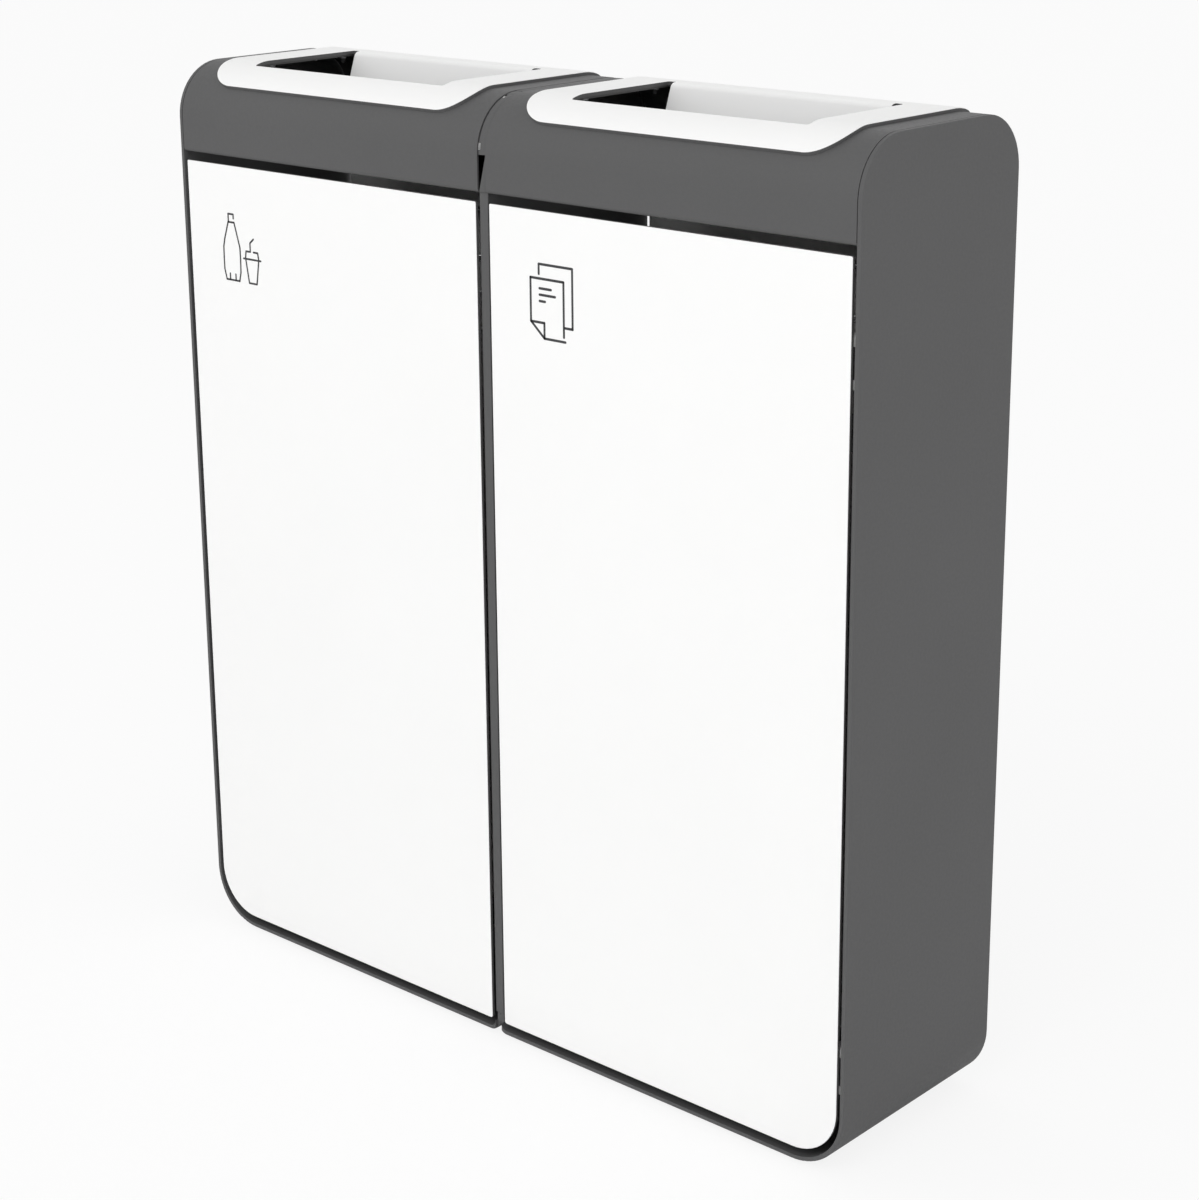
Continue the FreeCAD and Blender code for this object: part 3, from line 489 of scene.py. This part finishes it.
def copyTo(piece, name, place, turn=(0, 0, 0)):
    twin = piece.copy()
    twin.data = piece.data.copy()
    twin.name = name
    bpy.context.collection.objects.link(twin)
    twin.location = [value * mm for value in place]
    twin.rotation_euler = turn
    settle(twin)
    return twin


def copiesOf(piece, name, places, turn=(0, 0, 0)):
    copies = [copyTo(piece, name + str(index), place, turn) for index, place in enumerate(places)]
    bpy.data.objects.remove(piece)
    return copies


def bevelEdges(piece, test, width, segments=3):
    selectParts(piece, "EDGE", test)
    bpy.ops.mesh.bevel(offset=width * mm, segments=segments, affect="EDGES")
    leaveEdit()


def inMillimetres(box):
    # low and high corners in millimetres
    return [[value / mm for value in corner] for corner in box]


unitSides = {"right": 1, "left": -1}
tiny = 0.01  # how near an edge must lie to a plane to count as on it


# pan-head screws with a cross recess, six to a back panel

panelScrew = {
    "headRadius": 3.8,
    "headHeight": 1.4,
    "crown": 0.8,
    "crossLength": 4.0,
    "crossWidth": 0.95,
    "crossDepth": 0.9,
    "shankRadius": 2.0,
    "shankRoot": 0.2,  # how far the shank reaches into the head
}


def crossScrew(name, look, shankLength):
    # points along +Y with the underside of its head at the origin
    high = look["headHeight"]
    head = addRod(name, look["headRadius"], (0, 0, 0), (0, 1, 0), high)
    bevelEdges(head, lambda a, b: min(a.y, b.y) > (high - tiny) * mm, look["crown"], 4)
    reach = look["crossLength"] / 2
    half = look["crossWidth"] / 2
    floor = high - look["crossDepth"]
    for x, z in ((reach, half), (half, reach)):
        head = combine(head, addBox("crossCutter", (-x, floor, -z), (x, high + 1, z)), "DIFFERENCE")
    if shankLength:
        root = look["shankRoot"]
        shank = addRod("shank", look["shankRadius"], (0, root, 0), (0, -1, 0), shankLength + root, 24)
        head = combine(head, shank, "UNION")
    smoothByAngle(head)
    return head


def addPanelScrews():
    radius = panelScrew["headRadius"]
    for side in unitSides:
        node = side + "_back_screws"
        low, high = inMillimetres(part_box(node))
        seat = high[1] - panelScrew["headHeight"]
        screw = crossScrew("screwModel", panelScrew, seat - low[1])
        rows = [low[2] + radius, (low[2] + high[2]) / 2, high[2] - radius]
        places = [(x, seat, z) for x in (low[0] + radius, high[0] - radius) for z in rows]
        piece = joinAll(side + "PanelScrews", copiesOf(screw, "panelScrew", places))
        finishPiece(piece, zinc, "cabinet")
        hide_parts(node)


addPanelScrews()


# hexagon bolts and nuts that join the two units

joiningBolt = {
    "acrossFlats": 10.0,
    "headHeight": 4.0,
    "nutHeight": 4.0,
    "shankRadius": 3.0,
    "tail": 0.6,
    "wall": 4.0,
    "chamfer": 0.7,
    "shankRoot": 0.5,
    "tipChamfer": 0.4,
    "threadPlay": 0.05,
    "smoothUnder": 28,  # degrees, so that the six corners stay crisp
}


def hexagonBody(name, start, direction, height, bothEnds):
    # a hexagonal prism with the round chamfer that bolt heads and nuts have
    corner = joiningBolt["acrossFlats"] / math.sqrt(3)
    body = addRod(name, corner, start, direction, height, 6)
    turned = addRod("chamferCutter", corner * 0.995, start, direction, height, 48)
    ends = [start[0] + direction[0] * height]
    if bothEnds:
        ends.append(start[0])

    def onAnEnd(a, b):
        return any(abs(a.x - end * mm) + abs(b.x - end * mm) < 1e-6 for end in ends)

    bevelEdges(turned, onAnEnd, joiningBolt["chamfer"], 1)
    return combine(body, turned, "INTERSECT")


def addJoiningBolts():
    wall = joiningBolt["wall"]
    radius = joiningBolt["shankRadius"]
    low, high = inMillimetres(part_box("joining_bolts"))
    halfWide = joiningBolt["acrossFlats"] / 2
    halfHigh = joiningBolt["acrossFlats"] / math.sqrt(3)
    rows = (low[2] + halfHigh, high[2] - halfHigh)
    spots = [(0, y, z) for y in (low[1] + halfWide, high[1] - halfWide) for z in rows]
    bolt = hexagonBody("boltModel", (wall, 0, 0), (1, 0, 0), joiningBolt["headHeight"], False)
    length = 2 * wall + joiningBolt["nutHeight"] + joiningBolt["tail"]
    root = joiningBolt["shankRoot"]
    shank = addRod("boltShank", radius, (wall + root, 0, 0), (-1, 0, 0), length + root)
    tip = wall - length
    bevelEdges(shank, lambda a, b: max(a.x, b.x) < (tip + tiny) * mm, joiningBolt["tipChamfer"], 2)
    bolt = combine(bolt, shank, "UNION")
    nutHeight = joiningBolt["nutHeight"]
    nut = hexagonBody("nutModel", (-wall, 0, 0), (-1, 0, 0), nutHeight, True)
    boreRadius = radius + joiningBolt["threadPlay"]
    bore = addRod("boreCutter", boreRadius, (-wall + 1, 0, 0), (-1, 0, 0), nutHeight + 2)
    nut = combine(nut, bore, "DIFFERENCE")
    sets = ((bolt, "joiningBoltSet", "joining_bolts"), (nut, "joiningNutSet", "joining_nuts"))
    for model, name, node in sets:
        smoothByAngle(model, joiningBolt["smoothUnder"])
        piece = joinAll(name, copiesOf(model, "copyOf" + name, spots))
        finishPiece(piece, zinc, "cabinet")
        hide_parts(node)


addJoiningBolts()
print("screws, bolts and nuts made")


# black foam strips that close the front of the groove between each hood and its seam wall; their black is
# also painted shade, standing in for the dark of the open groove

grooveShadeFoam = {
    "wall": 4.0,
    "width": 2.5,
    "frontArc": (-57.5, 828.0),
    "frontRadius": 48.4,
    "depth": 4.6,
    "bottom": 797.0,
    "lowerEnd": 831.3,
    "bends": [(12.0, 65.0), (75.0, 90.0)],  # degrees round the front of the hood
    "rearEnd": -47.5,
}


def cutAway(piece, place, way):
    # removes what lies beyond a plane, and closes the cut
    selectParts(piece, "FACE", lambda centre, normal: True)
    bpy.ops.mesh.bisect(plane_co=place, plane_no=way, use_fill=True, clear_outer=True)
    leaveEdit()


def bentStrip(look, low, high, angles, arc="front"):
    # a sector of a ring round one of the hood's bends; angles run from the front, over the top
    middle = (low, *look[arc + "Arc"])
    outer = look[arc + "Radius"]
    inner = outer - look["depth"]
    strip = addRod("stripBend", outer, middle, (1, 0, 0), high - low, 120)
    hole = addRod("stripHole", inner, (low - 1, *middle[1:]), (1, 0, 0), high - low + 2, 120)
    strip = combine(strip, hole, "DIFFERENCE")
    start, end = (math.radians(angle) for angle in angles)
    centre = [value * mm for value in middle]
    cutAway(strip, centre, (0, -math.sin(start), -math.cos(start)))
    cutAway(strip, centre, (0, math.sin(end), math.cos(end)))
    return strip


def addGrooveShadeStrips():
    look = grooveShadeFoam
    arcY, arcZ = look["frontArc"]
    front = arcY - look["frontRadius"]
    top = arcZ + look["frontRadius"]
    deep = look["depth"]
    for side, sign in unitSides.items():
        low, high = sorted((sign * look["wall"], sign * (look["wall"] + look["width"])))
        parts = [
            addBox("grooveShadeFront", (low, front, look["bottom"]), (high, front + deep, look["lowerEnd"])),
            addBox("grooveShadeTop", (low, arcY, top - deep), (high, look["rearEnd"], top)),
        ]
        parts += [bentStrip(look, low, high, angles) for angles in look["bends"]]
        piece = joinAll(side + "GrooveFoamShadeStrip", parts)
        smoothByAngle(piece)
        # the strips' black is painted shade for the groove as well as the foam's own colour
        finishPiece(piece, blackRubber, "cabinet")


addGrooveShadeStrips()
# these strips' black is partly painted shade in the groove
print("foam strips made")


# grey cover strip over both seam walls' edges, and the narrow bead below the hoods

coverStrip = {
    "frontArc": (-57.5, 828.0),
    "frontRadius": 49.4,
    "rearArc": (59.5, 830.0),
    "rearRadius": 47.8,
    "depth": 3.2,
    "left": -3.5,
    "right": 4.6,
    "halfTop": 4.8,
    "bottom": 796.5,
    "topFrom": 75.0,  # degrees round the front bend, from where the strip has its full width
    "notches": [((-5, -112, 831.5), (-1.6, -100, 838)), ((-5, -76.6, 868), (-1.6, -70.6, 880))],
    "edge": 0.25,
    "lap": 0.4,  # how far the straight run reaches into the bend
    "topLap": 0.5,
    "softenOver": 0.7,  # radians
}

seamBead = {"halfWide": 4.85, "low": 22.0, "high": 796.8, "front": -105.3, "rear": -103.5, "edge": 0.5}


def addCoverStrip():
    look = coverStrip
    left, right, half = look["left"], look["right"], look["halfTop"]
    frontY, frontZ = look["frontArc"]
    rearY, rearZ = look["rearArc"]
    front = frontY - look["frontRadius"]
    rear = rearY + look["rearRadius"]
    crown = rearZ + look["rearRadius"]
    deep = look["depth"]
    lower = addBox("coverLower", (left, front, look["bottom"]), (right, front + deep, frontZ + look["lap"]))
    lower = combine(lower, bentStrip(look, left, right, (0, look["topFrom"])), "UNION")
    for low, high in look["notches"]:
        lower = combine(lower, addBox("coverNotch", low, high), "DIFFERENCE")
    parts = [
        lower,
        bentStrip(look, -half, half, (look["topFrom"], 90)),
        addBox("coverTop", (-half, frontY - look["topLap"], crown - deep), (half, rearY, crown)),
        bentStrip(look, -half, half, (90, 180), "rear"),
        addBox("coverRear", (-half, rear - deep, look["bottom"]), (half, rear, rearZ)),
    ]
    for part in parts:
        applyModifier(part, "BEVEL", width=look["edge"] * mm, segments=2, limit_method="ANGLE",
                      angle_limit=look["softenOver"])
    piece = joinAll("seamCoverStrip", parts)
    smoothByAngle(piece, 30)
    finishPiece(piece, greyCoat, "cabinet")


def addSeamBead():
    look = seamBead
    half = look["halfWide"]
    bead = addBox("seamBead", (-half, look["front"], look["low"]), (half, look["rear"], look["high"]))
    bevelEdges(bead, lambda a, b: max(a.y, b.y) < (look["front"] + tiny) * mm, look["edge"])
    smoothByAngle(bead)
    finishPiece(bead, greyCoat, "cabinet")


addCoverStrip()
addSeamBead()
print("cover strip made")


# stitch welds that hold the hinge brackets and the back panel's tabs to the walls

weldBead = {
    "radius": 1.3,
    "pitch": 1.5,
    "flat": 0.75,
    "bracketRun": (28.0, 4.0),  # start and end, back from the bracket's rear edge
    "tabRun": (2.0, 14.0),  # start and end, back from the tab's front edge
    "halfTab": 17.0,
    "smoothUnder": 60,
}


def beadPlaces(start, end):
    # the middles of the overlapping scales that a run of weld is made of
    way = Vector(end) - Vector(start)
    count = max(2, round(way.length / weldBead["pitch"]))
    return [Vector(start) + way * (index + 0.5) / count for index in range(count)]


def addWelds():
    for side, sign in unitSides.items():
        places = []
        for bracket in ("_upper_hinge_bracket", "_lower_hinge_bracket"):
            low, high = inMillimetres(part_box(side + bracket))
            wall = low[0] if sign > 0 else high[0]
            start, end = (high[1] - reach for reach in weldBead["bracketRun"])
            for z in (low[2], high[2]):
                places += beadPlaces((wall, start, z), (wall, end, z))
        low, high = inMillimetres(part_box(side + "_back_tabs"))
        middle = (low[2] + high[2]) / 2
        start, end = (low[1] + reach for reach in weldBead["tabRun"])
        for wall in (low[0], high[0]):
            for z in (low[2], middle - weldBead["halfTab"], middle + weldBead["halfTab"], high[2]):
                places += beadPlaces((wall, start, z), (wall, end, z))
        deselectAll()
        bpy.ops.mesh.primitive_uv_sphere_add(segments=12, ring_count=7, radius=weldBead["radius"] * mm)
        scale = bpy.context.object
        scale.scale = (1, weldBead["flat"], 1)
        settle(scale)
        piece = joinAll(side + "WallWelds", copiesOf(scale, "weldScale", places))
        smoothByAngle(piece, weldBead["smoothUnder"])
        finishPiece(piece, greyCoat, "cabinet")


addWelds()


# spot welds on the backs of the doors

spotWeld = {
    "ring": 2.6,
    "lip": 0.35,
    "pitch": 72.0,
    "sink": 0.1,
    "flangeThickness": 1.2,
    "flangeInset": 6.0,
    "leafThickness": 3.0,
    "leafReaches": (5.0, 32.0),  # back from the leaf's far end
    "leafInset": 9.0,
    "smoothUnder": 60,
}


def spotRings(name, places, face, material, body):
    deselectAll()
    bpy.ops.mesh.primitive_torus_add(major_segments=24, minor_segments=8, major_radius=spotWeld["ring"] * mm,
                                     minor_radius=spotWeld["lip"] * mm, rotation=(math.pi / 2, 0, 0))
    ring = bpy.context.object
    settle(ring)
    spots = [(x, face + spotWeld["sink"], z) for x, z in places]
    piece = joinAll(name, copiesOf(ring, "spotRing", spots))
    smoothByAngle(piece, spotWeld["smoothUnder"])
    finishPiece(piece, material, body)


def addSpotWelds():
    inset = spotWeld["flangeInset"]
    for side, sign in unitSides.items():
        body = side + "_swing_door"
        low, high = inMillimetres(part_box(side + "_door_stiffener"))
        count = int((high[2] - low[2] - 2 * inset) // spotWeld["pitch"])
        step = (high[2] - low[2] - 2 * inset) / count
        rows = [low[2] + inset + index * step for index in range(count + 1)]
        places = [(x, z) for x in (low[0] + inset, high[0] - inset) for z in rows]
        flange = low[1] + spotWeld["flangeThickness"]
        spotRings(side + "StiffenerSpotWelds", places, flange, greyCoat, body)
        leafPlaces = []
        for leaf in ("_upper_hinge_leaf", "_lower_hinge_leaf"):
            low, high = inMillimetres(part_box(side + leaf))
            far = high[0] if sign > 0 else low[0]
            for reach in spotWeld["leafReaches"]:
                for z in (low[2] + spotWeld["leafInset"], high[2] - spotWeld["leafInset"]):
                    leafPlaces.append((far - sign * reach, z))
        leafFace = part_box(side + "_door")[1][1] / mm + spotWeld["leafThickness"]
        spotRings(side + "LeafSpotWelds", leafPlaces, leafFace, zinc, body)


addSpotWelds()
print("welds made")


# small cross-head screws through the catches

catchScrew = {
    "headRadius": 2.8,
    "headHeight": 0.9,
    "crown": 0.5,
    "crossLength": 3.0,
    "crossWidth": 0.8,
    "crossDepth": 0.6,
    "inset": 5.5,  # from the catch's ends
}


def addCatchScrews():
    inset = catchScrew["inset"]
    for side, sign in unitSides.items():
        places = []
        for catch in ("_upper_catch", "_lower_catch"):
            low, high = inMillimetres(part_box(side + catch))
            face = low[0] if sign > 0 else high[0]
            middle = (low[1] + high[1]) / 2
            places += [(face, middle, low[2] + inset), (face, middle, high[2] - inset)]
        screw = crossScrew("catchScrewModel", catchScrew, 0)
        turn = (0, 0, sign * math.pi / 2)
        piece = joinAll(side + "CatchScrews", copiesOf(screw, "catchScrew", places, turn))
        finishPiece(piece, zinc, "cabinet")


addCatchScrews()


# spring clips on the tails of the hinge pins

pinClip = {
    "radius": 4.2,
    "bore": 1.98,
    "thickness": 0.7,
    "mouth": 2.2,
    "drop": 0.9,  # below the bracket
    "edge": 0.12,
    "hinge": (18.0, -99.5),
}


def addPinClips():
    x, y = pinClip["hinge"]
    clip = addRod("clipModel", pinClip["radius"], (0, 0, 0), (0, 0, 1), pinClip["thickness"], 40)
    clip = combine(clip, addRod("clipBore", pinClip["bore"], (0, 0, -1), (0, 0, 1), 3, 40), "DIFFERENCE")
    half = pinClip["mouth"] / 2
    clip = combine(clip, addBox("clipMouth", (-half, -6, -1), (half, 0, 2)), "DIFFERENCE")
    applyModifier(clip, "BEVEL", width=pinClip["edge"] * mm, segments=2, limit_method="ANGLE")
    smoothByAngle(clip)
    for side, sign in unitSides.items():
        places = []
        for bracket in ("_upper_hinge_bracket", "_lower_hinge_bracket"):
            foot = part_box(side + bracket)[0][2] / mm
            places.append((sign * x, y, foot - pinClip["drop"]))
        clips = [copyTo(clip, "pinClip" + str(index), place) for index, place in enumerate(places)]
        piece = joinAll(side + "PinClips", clips)
        finishPiece(piece, brightSteel, "cabinet")
    bpy.data.objects.remove(clip)


addPinClips()
print("catch screws and pin clips made")


# stage: pale floor, soft even light

stageLook = {
    "floorSize": 60.0,
    "floorColour": (0.95, 0.95, 0.95),
    "floorWhitening": 0.85,
    "skyAtHorizon": 1.12,
    "skyOverhead": 0.2,
    "dimsFrom": 0.55,
    "keyPower": 34.0,
    "keySize": 2.6,
    "keyPlace": (0.9, -3.2, 3.2),
}


def addFloor():
    deselectAll()
    bpy.ops.mesh.primitive_plane_add(size=stageLook["floorSize"], location=(0, 0, 0))
    floor = bpy.context.object
    floor.name = "studioFloor"
    material = bpy.data.materials.new("paleFloor")
    material.use_nodes = True
    tree = material.node_tree
    tree.nodes.clear()
    output = tree.nodes.new("ShaderNodeOutputMaterial")
    plain = addNode(tree, "ShaderNodeBsdfDiffuse", Color=(*stageLook["floorColour"], 1))
    glow = addNode(tree, "ShaderNodeEmission", Color=(1, 1, 1, 1), Strength=1.0)
    path = addNode(tree, "ShaderNodeLightPath")
    seen = addNode(tree, "ShaderNodeMath", {"operation": "MULTIPLY"})
    tree.links.new(path.outputs["Is Camera Ray"], seen.inputs[0])
    seen.inputs[1].default_value = stageLook["floorWhitening"]
    mix = addNode(tree, "ShaderNodeMixShader")
    tree.links.new(seen.outputs[0], mix.inputs[0])
    tree.links.new(plain.outputs[0], mix.inputs[1])
    tree.links.new(glow.outputs[0], mix.inputs[2])
    tree.links.new(mix.outputs[0], output.inputs["Surface"])
    floor.data.materials.append(material)


def addSky():
    world = bpy.data.worlds.new("studioWorld")
    bpy.context.scene.world = world
    world.use_nodes = True
    tree = world.node_tree
    tree.nodes.clear()
    output = tree.nodes.new("ShaderNodeOutputWorld")
    direction = addNode(tree, "ShaderNodeTexCoord").outputs["Generated"]
    height = addNode(tree, "ShaderNodeSeparateXYZ", Vector=direction)
    brightness = spread(tree, height.outputs["Z"], stageLook["skyAtHorizon"], stageLook["skyOverhead"],
                        stageLook["dimsFrom"], 1)
    light = addNode(tree, "ShaderNodeBackground", Color=(1, 1, 1, 1), Strength=brightness)
    shown = addNode(tree, "ShaderNodeBackground", Color=(1, 1, 1, 1), Strength=1.0)
    path = addNode(tree, "ShaderNodeLightPath")
    either = addNode(tree, "ShaderNodeMath", {"operation": "MAXIMUM"})
    tree.links.new(path.outputs["Is Camera Ray"], either.inputs[0])
    tree.links.new(path.outputs["Is Glossy Ray"], either.inputs[1])
    anyOf = addNode(tree, "ShaderNodeMath", {"operation": "MAXIMUM"})
    tree.links.new(either.outputs[0], anyOf.inputs[0])
    tree.links.new(path.outputs["Is Transmission Ray"], anyOf.inputs[1])
    mix = addNode(tree, "ShaderNodeMixShader")
    tree.links.new(anyOf.outputs[0], mix.inputs[0])
    tree.links.new(light.outputs[0], mix.inputs[1])
    tree.links.new(shown.outputs[0], mix.inputs[2])
    tree.links.new(mix.outputs[0], output.inputs["Surface"])


def addKeyLamp():
    deselectAll()
    place = Vector(stageLook["keyPlace"])
    bpy.ops.object.light_add(type="AREA", location=place)
    lamp = bpy.context.object
    lamp.name = "softKey"
    lamp.data.energy = stageLook["keyPower"]
    lamp.data.shape = "DISK"
    lamp.data.size = stageLook["keySize"]
    aim = Vector((0, 0, 0.5)) - place
    lamp.rotation_mode = "QUATERNION"
    lamp.rotation_quaternion = aim.to_track_quat("-Z", "Y")


addFloor()
addSky()
addKeyLamp()
bpy.context.scene.view_settings.view_transform = "Standard"
print("stage lit")
